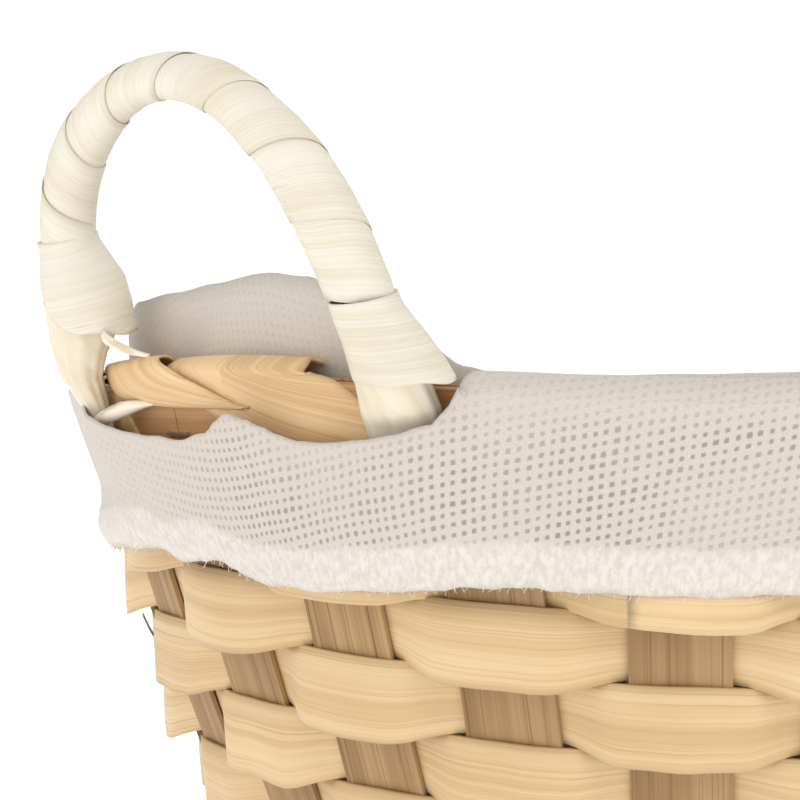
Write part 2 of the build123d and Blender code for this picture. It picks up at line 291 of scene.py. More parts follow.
# ---- weavers ----
# Eight strips of shaved chip woven round the stakes, one row above the other. The chip is springy,
# so each pass stands out in a low arch, and where it passes outside a stake it covers the edges of
# its neighbours. The two ends of a row lie one over the other on a stake.
base_radius, rim_radius, wall_bow = 0.1005, 0.1485, 0.0042
# The rim rises at the handles. The higher the power of the cosine, the narrower the rise.
rim_height, rim_rise, rise_power = 0.13145, 0.0035, 8.0
row_pitch, first_row = 0.014, 0.0045
weave_stops, weave_lanes, weave_weld = 296, 12, 0.00001
# A row goes once round and a lap more. Its run is 46 laps long and the first of them lies on the last.
weave_run, weave_laps, lap_lift = radians(368.0), 46.0, 0.0011
# The turns where the common drift and a row's own rise are greatest, and how fast they fade beside them.
drift_turn, drift_power, drift_height, drift_least = radians(155.0), 4.0, 0.0021, 0.0009
sweep_turn, sweep_power = radians(148.0), 12.0
# For each row: how much of the common drift it has, its extra rise at the left and how far it stands out.
row_drift = (1.0, 1.0, 1.0, 1.0, 1.0, 0.9, 0.6, 0.0)
row_sweep = (0.0, 0.0008, 0.0018, 0.0030, 0.0032, 0.0040, 0.0025, 0.0)
row_stand = (0.0050, 0.0050, 0.0050, 0.0050, 0.0050, 0.0050, 0.0034, 0.0024)
# The stake where the ends of the first row lie. Each row's lie three stakes on, the sixth row's six more,
# and every row starts a few degrees before its stake.
lap_stake, lap_step, sixth_extra, lap_back = 20.5, 3, 6.0, 3.9


def grow_tree(name, inputs, seeded=False):
    """A geometry node tree with named inputs: the tree, their identifiers, and the inputs as fields."""
    tree = bpy.data.node_groups.new(name, "GeometryNodeTree")
    if seeded:
        tree.interface.new_socket(name="Geometry", in_out="INPUT", socket_type="NodeSocketGeometry")
    kinds = {float: "NodeSocketFloat", int: "NodeSocketInt", tuple: "NodeSocketVector"}
    names = {}
    for label, value in inputs.items():
        kind = kinds.get(type(value), "NodeSocketMaterial")
        item = tree.interface.new_socket(name=label, in_out="INPUT", socket_type=kind)
        if value is not None:
            item.default_value = value
        names[label] = item.identifier
    tree.interface.new_socket(name="Geometry", in_out="OUTPUT", socket_type="NodeSocketGeometry")
    return tree, names, [Field(tree, out) for out in add(tree, "NodeGroupInput").outputs[:-1]]


def closed_grid(tree, stops, lanes):
    """A grid that is to become a flat closed strip: its mesh, share along, share across and side."""
    inputs = {"Size X": 1.0, "Size Y": 1.0, "Vertices X": stops, "Vertices Y": lanes + 1}
    mesh = add(tree, "GeometryNodeMeshGrid", inputs).outputs["Mesh"]
    x, y, z = split_vector(add(tree, "GeometryNodeInputPosition").outputs[0])
    middle = lanes / 2 - 0.5
    ring = ((y + 0.5) * lanes).math("ROUND").math("FLOORED_MODULO", lanes)
    across = ((ring - middle).math("ABSOLUTE") * -1 + middle) / (middle - 0.5)
    return mesh, x + 0.5, across, ring.math("LESS_THAN", middle) * 2 - 1


def settled(tree, mesh, grain, spot, weld):
    """Stores the grain on a mesh, moves its points to their spot and joins those that meet."""
    inputs = {"Geometry": mesh, "Name": "grain", "Value": grain}
    keep = add(tree, "GeometryNodeStoreNamedAttribute", inputs, data_type="FLOAT_VECTOR", domain="POINT")
    place = add(tree, "GeometryNodeSetPosition", {"Geometry": keep.outputs[0], "Position": spot})
    return add(tree, "GeometryNodeMergeByDistance", {"Geometry": place.outputs[0], "Distance": weld}).outputs[0]


def painted(tree, geometry, material):
    """Ends a tree with real geometry in its material."""
    real = add(tree, "GeometryNodeRealizeInstances", {"Geometry": geometry})
    paint = add(tree, "GeometryNodeSetMaterial", {"Geometry": real.outputs[0], "Material": material})
    add(tree, "NodeGroupOutput", {0: paint.outputs[0]})


def wall_place(tree, turn, height, offset):
    """Nodes for a point of the wall: turn in radians, height in metres and offset outwards."""
    rise = turn.math("COSINE").math("POWER", rise_power)
    share = height * (1 / rim_height)
    lifted = height + rise * (share.math("MINIMUM", 1.0) * (pi / 2)).math("SINE") * rim_rise
    share = lifted * (1 / rim_height)
    radius = share * (rim_radius - base_radius) + base_radius + share * (share * -1 + 1) * (4 * wall_bow)
    lean = (share * -2 + 1) * (4 * wall_bow / rim_height) + (rim_radius - base_radius) / rim_height
    upright = (lean * lean + 1).math("INVERSE_SQRT")
    reach = radius + offset * upright
    level = lifted - offset * lean * upright
    return vector_of(tree, reach * turn.math("COSINE"), reach * turn.math("SINE"), level)


def weaver_tree():
    """Geometry nodes for one row of the weave."""
    tree, names, given = grow_tree("woven_row", {
        "Row": 0.0, "Start": 0.0, "Strip height": 0.0137, "Over height": 0.0013, "Thickness": 0.0009,
        "Wave": 0.0014, "Cup": 0.0003, "Stand": 0.0027, "Drift": 1.0, "Sweep": 0.0, "Chip": None,
    })
    row, start, strip_height, over_height, thickness, wave, cup, stand, drift, sweep, chip = given
    mesh, run, across, side = closed_grid(tree, weave_stops, weave_lanes)
    turn = start + run * weave_run
    stake = turn * (180 / pi / stake_step) - 0.5
    swing = ((stake + row) * pi).math("COSINE")
    flat_swing = (swing * 1.5).math("TANH") * (1 / tanh(1.5))
    outside = flat_swing.math("MAXIMUM", 0.0)
    wobble = noise_at(turn * 5, row * 3.3, 0.5, 1) - 0.5
    height_here = strip_height + over_height * outside + wobble * 0.0007
    toward_back = (turn - drift_turn).math("COSINE").math("MAXIMUM", 0.0).math("POWER", drift_power)
    swept = (turn - sweep_turn).math("COSINE").math("MAXIMUM", 0.0).math("POWER", sweep_power) * sweep
    drifted = (toward_back * drift_height + drift_least) * drift + swept
    middle = row * row_pitch + first_row + row_pitch / 2 + wobble * 0.0009 + drifted
    height = middle + (across - 0.5) * height_here - outside * over_height * 0.3
    arch = (across * 2 - 1) * (across * 2 - 1) * -1 + 1
    sag = noise_at(turn * 7, row * 5.1, 4.0, 1) - 0.5
    lap = (run * weave_laps).ramp(1.0, 1.9, 1.0, 0.0) * lap_lift
    edge = (run * weave_stops).math("MINIMUM", (run * -1 + 1) * weave_stops).math("MINIMUM", 1.0)
    sprung = swing.ramp(-0.75, 0.5)
    bulge = (arch * cup * outside + (across * -1 + 1) * stand * sprung) * (sag + 1)
    offset = flat_swing * wave * (sag * 0.5 + 1) + bulge + lap + side * thickness * edge * 0.5
    grain = vector_of(tree, turn * 0.13 + row * 1.7, across * 0.014, row)
    woven = settled(tree, mesh, grain, wall_place(tree, turn, height, offset), weave_weld)
    smooth = add(tree, "GeometryNodeSetShadeSmooth", {"Geometry": woven})
    painted(tree, smooth.outputs[0], chip)
    return tree, names


def grain_place(tree):
    """Along, across and piece number from the grain attribute of a made strip."""
    return split_vector(add(tree, "ShaderNodeAttribute", attribute_name="grain").outputs["Vector"])


def grown(name, tree, names, values, seed=None):
    """A plain mesh object grown by a geometry node tree from a seed object, or from an empty one."""
    if seed is None:
        seed = bpy.data.objects.new(name + "_seed", bpy.data.meshes.new(name + "_seed"))
        scene.collection.objects.link(seed)
    modifier = seed.modifiers.new("grow", "NODES")
    modifier.node_group = tree
    for key, value in values.items():
        modifier[names[key]] = value
    mesh = bpy.data.meshes.new_from_object(seed.evaluated_get(bpy.context.evaluated_depsgraph_get()))
    mesh.name = name
    made = bpy.data.objects.new(name, mesh)
    scene.collection.objects.link(made)
    bpy.data.objects.remove(seed)
    return made


weaver_chip = wood_chip(
    "weaver_chip", grain_place, streak=0.5, depth=0.00018, roughness=0.5, lines=3000.0,
    pale=(0.83, 0.62, 0.355), deep=(0.66, 0.45, 0.225), pore=(0.44, 0.265, 0.115),
)
row_tree, row_inputs = weaver_tree()
for row in range(8):
    stake = lap_step * row + lap_stake + (sixth_extra if row == 5 else 0.0)
    values = {
        "Row": float(row), "Start": radians(stake * stake_step - lap_back),
        "Drift": row_drift[row], "Sweep": row_sweep[row], "Stand": row_stand[row], "Chip": weaver_chip,
    }
    woven = grown(f"woven_row_{row + 1}", row_tree, row_inputs, values)
    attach(woven, "root")
    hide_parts(f"weaver_{row + 1}")


# ---- hoops and staples ----
# Two bent splints, one outside and one inside the stakes, clamp their tops. Each is joined by an
# overlap with a wire staple through it. They are plain darker wood with the grain round the rim.
def round_place(tree):
    """Along and across the grain of a piece that runs round the rim."""
    x, y, z = split_vector(object_place(tree))
    inside = (x * x + y * y).math("SQRT").math("LESS_THAN", rim_radius)
    return y.math("ARCTAN2", x) * rim_radius, z, inside


hoop_wood = wood_chip(
    "hoop_wood", round_place, streak=0.6, depth=0.0002,
    pale=(0.60, 0.34, 0.145), deep=(0.42, 0.215, 0.08), pore=(0.18, 0.09, 0.035),
)
for hoop_name in ("rim_hoop_outer", "rim_hoop_inner"):
    repaint(hoop_name, hoop_wood)

staple_wire, tree, shader = new_material("staple_wire", 0.32)
scratched = noise_field(tree, object_place(tree), 4, 0.7, 900.0)
feed(shader, {
    "Metallic": 1.0,
    "Base Color": mixed(scratched, (0.78, 0.76, 0.72), (0.52, 0.49, 0.44)),
    "Roughness": scratched.ramp(0.3, 0.7, 0.22, 0.5),
})
repaint("rim_staples", staple_wire)


# ---- rim lashing ----
# One long strip of shaved chip goes round both hoops in twelve turns. It comes over the top at full
# width, runs down the outside at a slant and passes in between two stakes, gathered, below the hoops.
lash_turns = 12
lash_step = radians(360 / lash_turns)
lash_start = radians(15.0)
# In degrees: where each edge goes over the top, and half of the width where the strip is gathered.
lash_first_over, lash_other_over, lash_bunch = 7.0, 23.0, 1.6
lash_hump, hump_reach = 0.0030, 0.012
lash_thickness, lash_offset = 0.0006, 0.0038
lash_top, lash_low = rim_height + 0.0003, rim_height - 0.0152
lash_stops, lash_lanes, lash_arch = 60, 15, 0.0005


def wall_radius_at(height):
    """Radius of the middle of the weave at a height in metres."""
    share = height / rim_height
    return base_radius + (rim_radius - base_radius) * share + 4 * wall_bow * share * (1 - share)


def wall_spot(turn, height, offset):
    """A point off the middle of the wall, before the rise of the rim: radians and metres."""
    share = height / rim_height
    lean = ((rim_radius - base_radius) + 4 * wall_bow * (1 - 2 * share)) / rim_height
    upright = 1 / sqrt(1 + lean * lean)
    reach = wall_radius_at(height) + offset * upright
    return Vector((reach * cos(turn), reach * sin(turn), height - offset * lean * upright))


def faces_outward(obj):
    """Turns the faces of a closed mesh to the outside."""
    form = bmesh.new()
    form.from_mesh(obj.data)
    bmesh.ops.recalc_face_normals(form, faces=form.faces)
    form.to_mesh(obj.data)
    form.free()


def store(obj, name, vectors):
    """Keeps a vector for each point of a mesh under a name."""
    layer = obj.data.attributes.new(name, "FLOAT_VECTOR", "POINT")
    layer.data.foreach_set("vector", np.asarray(vectors, dtype=np.float32).ravel())


def closed_ribbon(name, lanes, thickness, material, grain_start=0.0):
    """A strip through rows of points, one row for each stop, with a thickness and a cap at each end."""
    stops, across = len(lanes), len(lanes[0])
    points, grain = [], []
    walked = grain_start
    for i, lane in enumerate(lanes):
        before, after = lanes[max(i - 1, 0)], lanes[min(i + 1, stops - 1)]
        middle = across // 2
        walked += (lane[middle] - before[middle]).length
        for face in (0.5, -0.5):
            for j, point in enumerate(lane):
                side = lane[min(j + 1, across - 1)] - lane[max(j - 1, 0)]
                normal = (after[j] - before[j]).cross(side).normalized()
                points.append(point + normal * thickness * face)
                grain.append((walked, j / (across - 1) * (lane[-1] - lane[0]).length, 0.0))
    ring = list(range(across)) + list(range(2 * across - 1, across - 1, -1))
    faces = []
    for i in range(stops - 1):
        here, there = i * 2 * across, (i + 1) * 2 * across
        for k, corner in enumerate(ring):
            following = ring[(k + 1) % len(ring)]
            faces.append((here + corner, here + following, there + following, there + corner))
    faces.append(tuple(reversed(ring)))
    faces.append(tuple((stops - 1) * 2 * across + corner for corner in ring))
    obj = plain_mesh(name, points, faces)
    store(obj, "grain", grain)
    faces_outward(obj)
    obj.data.materials.append(material)
    return obj


def smooth_line(stations, stops):
    """Points at even shares along a smooth line through the stations."""
    found = []
    last = len(stations) - 1
    for k in range(stops + 1):
        along = k / stops * last
        i = min(int(along), last - 1)
        t = along - i
        p0, p1 = stations[max(i - 1, 0)], stations[i]
        p2, p3 = stations[i + 1], stations[min(i + 2, last)]
        a = 2 * p1
        b = (p2 - p0) * t
        c = (2 * p0 - 5 * p1 + 4 * p2 - p3) * t * t
        d = (3 * p1 - p0 - 3 * p2 + p3) * t * t * t
        found.append((a + b + c + d) / 2)
    return found


def lash_edges():
    """The two edges of one turn of the lashing as rows of angle, height and offset from the wall."""
    drop, step = lash_top - lash_low, 360 / lash_turns
    edges = []
    for start_angle, top_angle, end_angle, bend in (
        (-lash_bunch, lash_first_over, step - lash_bunch, lambda share: 1 - (1 - share) ** 2.2),
        (lash_bunch, lash_other_over, step + lash_bunch, lambda share: share**2.7),
    ):
        marks = []
        for k in range(5):
            share = k / 4
            angle = radians(start_angle + (top_angle - start_angle) * share)
            marks.append(Vector((angle, lash_low + (drop - 0.0008) * share**0.8, -lash_offset)))
        marks.append(Vector((radians(top_angle), lash_top + 0.0007, -0.0012)))
        marks.append(Vector((radians(top_angle + 0.3), lash_top + 0.0007, 0.0012)))
        for k in range(9):
            share = k / 8
            angle = radians(top_angle + 0.5 + (end_angle - top_angle - 0.5) * share)
            height = lash_top - 0.0003 - (drop - 0.0003) * bend(share)
            marks.append(Vector((angle, height, lash_offset - 0.0006 * share**3)))
        edges.append(smooth_line(marks, lash_stops))
    return edges


def ribbon_lanes(first, other, across, arch, spot):
    """Rows of points between two edges given as angle, height and offset, arched outwards."""
    lanes = []
    for one, two in zip(first, other):
        lane = []
        for j in range(across):
            share = j / (across - 1)
            turn, height, offset = one.lerp(two, share)
            lane.append(spot(turn, height, offset + arch * 4 * share * (1 - share)))
        lanes.append(lane)
    return lanes


def lashing_tree():
    """Geometry nodes that repeat one turn round the rim and lift it with the rise and the hump of the rim."""
    inputs = {"Turns": lash_turns, "Step": lash_step, "Start": lash_start, "Chip": None}
    tree, names, (one_turn, turns, step, start, chip) = grow_tree("rim_lashing", inputs, seeded=True)
    index = Field(tree, add(tree, "GeometryNodeInputIndex").outputs[0])
    heading = vector_of(tree, 0.0, 0.0, index * step + start)
    copies = add(tree, "GeometryNodeInstanceOnPoints", {
        "Points": add(tree, "GeometryNodeMeshLine", {"Offset": (0, 0, 0), "Count": turns}).outputs["Mesh"],
        "Instance": one_turn,
        "Rotation": add(tree, "FunctionNodeEulerToRotation", {0: heading}).outputs[0],
    })
    real = add(tree, "GeometryNodeRealizeInstances", {"Geometry": copies.outputs["Instances"]})
    x, y, z = split_vector(add(tree, "GeometryNodeInputPosition").outputs[0])
    rise = y.math("ARCTAN2", x).math("COSINE").math("POWER", rise_power)
    reach = ((z * (1 / rim_height)).math("MINIMUM", 1.0) * (pi / 2)).math("SINE")
    hump = ((z - lash_top + hump_reach) * (1 / hump_reach)).math("MAXIMUM", 0.0) * lash_hump
    raised = vector_of(tree, 0.0, 0.0, rise * (reach * rim_rise + rise * hump))
    lift = add(tree, "GeometryNodeSetPosition", {"Geometry": real.outputs[0], "Offset": raised})
    painted(tree, lift.outputs[0], chip)
    return tree, names


def turn_place(tree):
    """Along, across and turn number of the lashing."""
    along, across, number = grain_place(tree)
    x, y, z = split_vector(object_place(tree))
    return along, across, (y.math("ARCTAN2", x) * (1 / lash_step) - 0.5).math("FLOOR")


lashing_chip = wood_chip(
    "lashing_chip", turn_place, streak=0.5, depth=0.00025, roughness=0.5,
    pale=(0.91, 0.65, 0.36), deep=(0.73, 0.475, 0.235), pore=(0.46, 0.26, 0.11),
)
turn_lanes = ribbon_lanes(*lash_edges(), lash_lanes, lash_arch, wall_spot)
one_turn = closed_ribbon("one_turn", turn_lanes, lash_thickness, lashing_chip)
lashing_nodes, lashing_inputs = lashing_tree()
lashing = grown("rim_wound_strip", lashing_nodes, lashing_inputs, {"Chip": lashing_chip}, one_turn)
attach(lashing, "root")
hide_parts("rim_lashing")


# ---- weave splinter ----
# A dark splinter stands off the weave at the left of the view: a short thin ribbon of weathered chip
# whose lower end is nearer the wall. Like the weavers, it is attached to the root body.
splinter_degree = 149.0
# From its upper end down: height and distance off the middle of the wall.
splinter_marks = [(0.0807, 0.0034), (0.0790, 0.0032), (0.0773, 0.0030), (0.0755, 0.0026)]
splinter_width, splinter_thickness = 0.0011, 0.0004
splinter_wood = wood_chip(
    "splinter_wood", grain_place, streak=0.5, depth=0.0001,
    pale=(0.25, 0.19, 0.14), deep=(0.16, 0.12, 0.085), pore=(0.08, 0.06, 0.04),
)
splinter_lanes = []
for height, offset in splinter_marks:
    spot = wall_spot(radians(splinter_degree), height, offset)
    half = Vector((0, 0, splinter_width / 2))
    splinter_lanes.append([spot - half, spot, spot + half])
splinter = closed_ribbon("weave_splinter", splinter_lanes, splinter_thickness, splinter_wood)
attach(splinter, "root")


# ---- rim bindings ----
# Beside the far foot of each handle a short extra turn of the same chip binds the hoops. It is a thin
# ribbon between two edges, half under the main lashing.
binding_across, binding_grain = 13, 0.4
# Its lower and upper edges: degrees from the handle's middle, height and distance off the wall.
binding_low = [
    (21.0, 0.1290, -0.0042), (19.6, 0.1352, -0.0040), (18.6, 0.1378, -0.0004), (17.9, 0.1372, 0.0034),
    (17.2, 0.1345, 0.0042), (16.0, 0.1318, 0.0046), (14.4, 0.1301, 0.0046), (11.0, 0.1293, 0.0044),
    (7.2, 0.1290, 0.0042), (2.6, 0.1289, 0.0038), (-1.5, 0.1288, 0.0034),
]
binding_high = [
    (12.5, 0.1290, -0.0042), (9.8, 0.1360, -0.0042), (8.6, 0.1392, -0.0006), (8.0, 0.1392, 0.0030),
    (7.0, 0.1380, 0.0044), (5.6, 0.1366, 0.0047), (4.3, 0.1351, 0.0047), (1.7, 0.1326, 0.0044),
    (-0.5, 0.1304, 0.0040), (-1.8, 0.1294, 0.0038), (-2.8, 0.1290, 0.0034),
]


def rim_spot(turn, height, offset):
    """A point at a distance off the middle of the wall, measured level."""
    reach = wall_radius_at(height) + offset
    return Vector((reach * cos(turn), reach * sin(turn), height))


for side_name, handle_turn in (("left", pi), ("right", 0.0)):
    edges = [
        [Vector((handle_turn - radians(off), height, out)) for off, height, out in marks]
        for marks in (binding_low, binding_high)
    ]
    low_line, high_line = (smooth_line(edge, lash_stops) for edge in edges)
    binding_lanes = ribbon_lanes(low_line, high_line, binding_across, lash_arch, rim_spot)
    start = binding_grain + handle_turn
    binding = closed_ribbon(f"rim_binding_{side_name}", binding_lanes, lash_thickness, lashing_chip, start)
    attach(binding, "root")


# ---- handle cores ----
# Each handle is a bent length of cane, made as a tube along a smooth line. Its feet are thrust down
# outside the hoops, where they taper.
handle_reach, handle_seat, handle_lean = 0.15044, 0.1360, radians(15.0)
handle_stops, cane_cut, cane_around = 220, 16, 20
# The cane's radius at its ends, what it gains, and the share of its length in which it gains that.
cane_tip, cane_gain, cane_taper = 0.0019, 0.0017, 0.12
# From one foot to the other: across the handle, up it, and half of its thickness with the wrap.
handle_shape = [
    (-0.0525, -0.0200, 0.0046),
    (-0.0508, -0.0110, 0.0050),
    (-0.0490, -0.0015, 0.0055),
    (-0.0466, 0.0045, 0.0059),
    (-0.0443, 0.0108, 0.0060),
    (-0.0423, 0.0182, 0.0063),
    (-0.0394, 0.0269, 0.0065),
    (-0.0353, 0.0360, 0.0064),
    (-0.0308, 0.0430, 0.0061),
    (-0.0251, 0.0493, 0.0057),
    (-0.0190, 0.0544, 0.0054),
    (-0.0115, 0.0585, 0.0051),
    (-0.0030, 0.0606, 0.0047),
    (0.0060, 0.0609, 0.0045),
    (0.0145, 0.0591, 0.0047),
    (0.0225, 0.0557, 0.0051),
    (0.0300, 0.0510, 0.0055),
    (0.0360, 0.0455, 0.0058),
    (0.0408, 0.0385, 0.0058),
    (0.0438, 0.0311, 0.0059),
    (0.0448, 0.0245, 0.0062),
    (0.0446, 0.0180, 0.0066),
    (0.0452, 0.0110, 0.0062),
    (0.0468, 0.0040, 0.0058),
    (0.0487, -0.0020, 0.0054),
    (0.0503, -0.0110, 0.0050),
    (0.0520, -0.0200, 0.0046),
]


def handle_spot(side, across, up, out=0.0):
    """A point of a handle: side is 1 at +X and -1 at -X, out is off its plane, away from the basket."""
    reach = handle_reach + up * sin(handle_lean) + out * cos(handle_lean)
    return Vector((side * reach, -side * across, handle_seat + up * cos(handle_lean) - out * sin(handle_lean)))


def handle_face(side):
    """The direction off the plane of a handle, away from the basket."""
    return Vector((side * cos(handle_lean), 0, -sin(handle_lean)))


def handle_line(side):
    """The middle line of a handle as points, and its half thickness at each."""
    spots = [handle_spot(side, across, up) for across, up, half in handle_shape]
    halves = [Vector((half, 0, 0)) for across, up, half in handle_shape]
    return smooth_line(spots, handle_stops), [v.x for v in smooth_line(halves, handle_stops)]


def frame_at(side, line, i):
    """Directions at a stop of the handle: along it, away from the basket, and out of its loop."""
    along = (line[min(i + 1, len(line) - 1)] - line[max(i - 1, 0)]).normalized()
    return along, handle_face(side), along.cross(handle_face(side))


def tube(name, rings):
    """A closed tube through rings of points."""
    around = len(rings[0])
    points = [point for ring in rings for point in ring]
    faces = []
    for i in range(len(rings) - 1):
        for k in range(around):
            here, following = i * around + k, i * around + (k + 1) % around
            faces.append((here, following, following + around, here + around))
    faces.append(tuple(range(around)))
    faces.append(tuple((len(rings) - 1) * around + k for k in range(around)))
    obj = plain_mesh(name, points, faces)
    faces_outward(obj)
    return obj


def cane_place(tree):
    """Along and across the cane, near enough: height along it and the angle round it as width."""
    x, y, z = split_vector(object_place(tree))
    return z, y + x * 0.3, x.math("SIGN")


cane = wood_chip(
    "cane", cane_place, streak=0.4, depth=0.0001, roughness=0.42,
    pale=(0.58, 0.40, 0.21), deep=(0.44, 0.28, 0.13), pore=(0.28, 0.16, 0.07),
)
handle_lines = {}
for side, side_name in ((-1, "left"), (1, "right")):
    line, halves = handle_line(side)
    handle_lines[side_name] = (side, line, halves)
    rings = []
    for i in range(cane_cut, len(line) - cane_cut):
        along, face, outer = frame_at(side, line, i)
        to_end = (min(i, len(line) - 1 - i) - cane_cut) / len(line)
        radius = cane_tip + cane_gain * min(to_end / cane_taper, 1.0)
        angles = [2 * pi * k / cane_around for k in range(cane_around)]
        rings.append([line[i] + (outer * cos(angle) + face * sin(angle)) * radius for angle in angles])
    core = tube(f"cane_{side_name}", rings)
    core.data.materials.append(cane)
    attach(core, "root")
    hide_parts(f"handle_core_{side_name}")


# ---- handle wraps ----
# A dried leaf strip is wound up one leg, over the top and down the other. Each turn covers the edge
# of the one before it, so the wrap goes up in small steps.
wrap_pitch, wrap_strip, wrap_lift, wrap_thickness = 0.0165, 0.0225, 0.0005, 0.0002
wrap_stops, wrap_lanes, wrap_weld = 620, 20, 0.000002
wrap_first, wrap_last = 0.036, 0.044


def wrap_tree():
    """Geometry nodes that wind a flat strip round a curve whose points give half of its thickness."""
    tree, names, given = grow_tree("leaf_wrap", {
        "Face": (0.0, 0.0, 0.0), "Start": 0.0, "Turns": 14.0, "Pitch": wrap_pitch, "Strip": wrap_strip,
        "Lift": wrap_lift, "Thickness": wrap_thickness, "Leaf": None,
    }, seeded=True)
    curve, face, start, turns, pitch, strip, lift, thickness, wrap_leaf = given
    mesh, run, across, side = closed_grid(tree, wrap_stops, wrap_lanes)
    winding = run * turns
    uneven = noise_at(winding * 0.9, 7.0, 0.0, 2) - 0.5
    wide = strip * (uneven * 0.5 + 1)
    length = start + pitch * (winding + uneven * 0.55) + (across - 0.5) * wide
    inputs = {"Curves": curve, "Value": add(tree, "GeometryNodeInputRadius").outputs[0], "Length": length}
    sample = add(tree, "GeometryNodeSampleCurve", inputs, mode="LENGTH", data_type="FLOAT")
    inputs = {0: sample.outputs["Tangent"], 1: face}
    outer = add(tree, "ShaderNodeVectorMath", inputs, operation="CROSS_PRODUCT").outputs[0]
    crease = noise_at(winding * 1.6, across * 6, 2.0, 2) - 0.5
    tuck = across * across * -0.35 + across * -0.65 + 0.45
    half = Field(tree, sample.outputs["Value"])
    radius = half + tuck * lift + crease * 0.0005 + side * thickness * 0.5
    angle = winding * (-2 * pi)
    out_share = radius * angle.math("COSINE") * -1
    face_share = radius * angle.math("SINE")
    spot = sample.outputs["Position"]
    for direction, share in ((outer, out_share), (face, face_share)):
        step = add(tree, "ShaderNodeVectorMath", {0: direction, "Scale": share}, operation="SCALE")
        spot = add(tree, "ShaderNodeVectorMath", {0: spot, 1: step.outputs[0]}).outputs[0]
    grain = vector_of(tree, winding * 0.036, across * 0.022, across)
    painted(tree, settled(tree, mesh, grain, spot, wrap_weld), wrap_leaf)
    return tree, names


def dried_leaf(name, fibre, pale, deep):
    """Smooth pale leaf with fine ribs along the strip and a few tan lines."""
    material, tree, shader = new_material(name, 0.45)
    along, across, edge = grain_place(tree)
    ribs = noise_at(along * 22, across * fibre, 1.3, 3, 0.6)
    cloudy = noise_at(along * 30, across * 120, 5.1, 2, 0.5)
    stain = noise_at(along * 60, across * 420, 8.8, 3, 0.6)
    body = mixed((ribs * 0.5 + cloudy * 0.5).ramp(0.38, 0.66), pale, deep)
    marked = mixed(stain.ramp(0.63, 0.75, 0.0, 0.55), body, (0.62, 0.45, 0.22))
    surface(shader, marked, ribs * 0.7 + cloudy * 0.5, 0.00022)
    feed(shader, {"Roughness": ribs.ramp(0.3, 0.7, 0.38, 0.55)})
    return material


leaf = dried_leaf("leaf", 2600, (0.855, 0.81, 0.705), (0.76, 0.685, 0.53))
wrap_nodes, wrap_inputs = wrap_tree()
for side_name, (side, line, halves) in handle_lines.items():
    seed = bpy.data.objects.new("wrap_line", bpy.data.curves.new("wrap_line", "CURVE"))
    seed.data.dimensions = "3D"
    spline = seed.data.splines.new("POLY")
    spline.points.add(len(line) - 1)
    for point, spot, half in zip(spline.points, line, halves):
        point.co = (*spot, 1.0)
        point.radius = half
    scene.collection.objects.link(seed)
    length = sum((b - a).length for a, b in zip(line, line[1:]))
    values = {
        "Face": tuple(handle_face(side)),
        "Start": wrap_first,
        "Turns": (length - wrap_first - wrap_last) / wrap_pitch,
        "Leaf": leaf,
    }
    wrap = grown(f"leaf_wrap_{side_name}", wrap_nodes, wrap_inputs, values, seed)
    faces_outward(wrap)
    wrap.data.polygons.foreach_set("use_smooth", [True] * len(wrap.data.polygons))
    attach(wrap, "root")
    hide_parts(f"handle_wrap_{side_name}")


# ---- cuffs ----
# The last turn of leaf at each foot is left wide and flares like a short skirt over the rim, open at
# its mouth. It is one layer of leaf, and its mouth dips towards the inside of the handle.
cuff_stops, cuff_around = 26, 64
cuff_leaf, near_top, far_top = 0.00045, 0.0150, 0.0300


def thicken(obj, thickness, even=True):
    """Gives a sheet its thickness, as a plain closed mesh that faces outwards."""
    modifier = obj.modifiers.new("thickness", "SOLIDIFY")
    modifier.thickness = thickness
    modifier.offset = 0.0
    modifier.use_even_offset = even
    mesh = bpy.data.meshes.new_from_object(obj.evaluated_get(bpy.context.evaluated_depsgraph_get()))
    obj.modifiers.remove(modifier)
    obj.data = mesh
    faces_outward(obj)


# Sections of the flare up the handle: height, middle across the handle, half width and half depth.
near_flare = [
    (-0.0030, 0.0513, 0.0102, 0.0086),
    (0.0000, 0.0504, 0.0096, 0.0082),
    (0.0060, 0.0474, 0.0084, 0.0073),
    (0.0126, 0.0445, 0.0068, 0.0064),
    (0.0160, 0.0436, 0.0064, 0.0063),
]
far_flare = [
    (0.0080, 0.0432, 0.0100, 0.0088),
    (0.0145, 0.0422, 0.0095, 0.0087),
    (0.0200, 0.0426, 0.0090, 0.0083),
    (0.0245, 0.0440, 0.0076, 0.0071),
    (0.0285, 0.0447, 0.0063, 0.0061),
    (0.0310, 0.0446, 0.0062, 0.0061),
]
# The mouth of a cuff: angle round the leg, from out of the loop by way of the front, and its height.
near_mouth = [
    (0, -0.0018), (60, -0.0005), (90, -0.0004), (134, 0.0005), (180, 0.0008), (250, 0.0), (314, -0.0030),
    (360, -0.0018),
]
far_mouth = [
    (0, 0.0200), (51, 0.0181), (70, 0.0142), (105, 0.0112), (145, 0.0097), (180, 0.0085), (231, 0.0074),
    (270, 0.0100), (320, 0.0160), (360, 0.0200),
]


def at_height(table, up):
    """The rest of a table's row at a height, easing between rows."""
    heights = [row[0] for row in table]
    return [float(np.interp(up, heights, [row[k] for row in table])) for k in range(1, len(table[0]))]


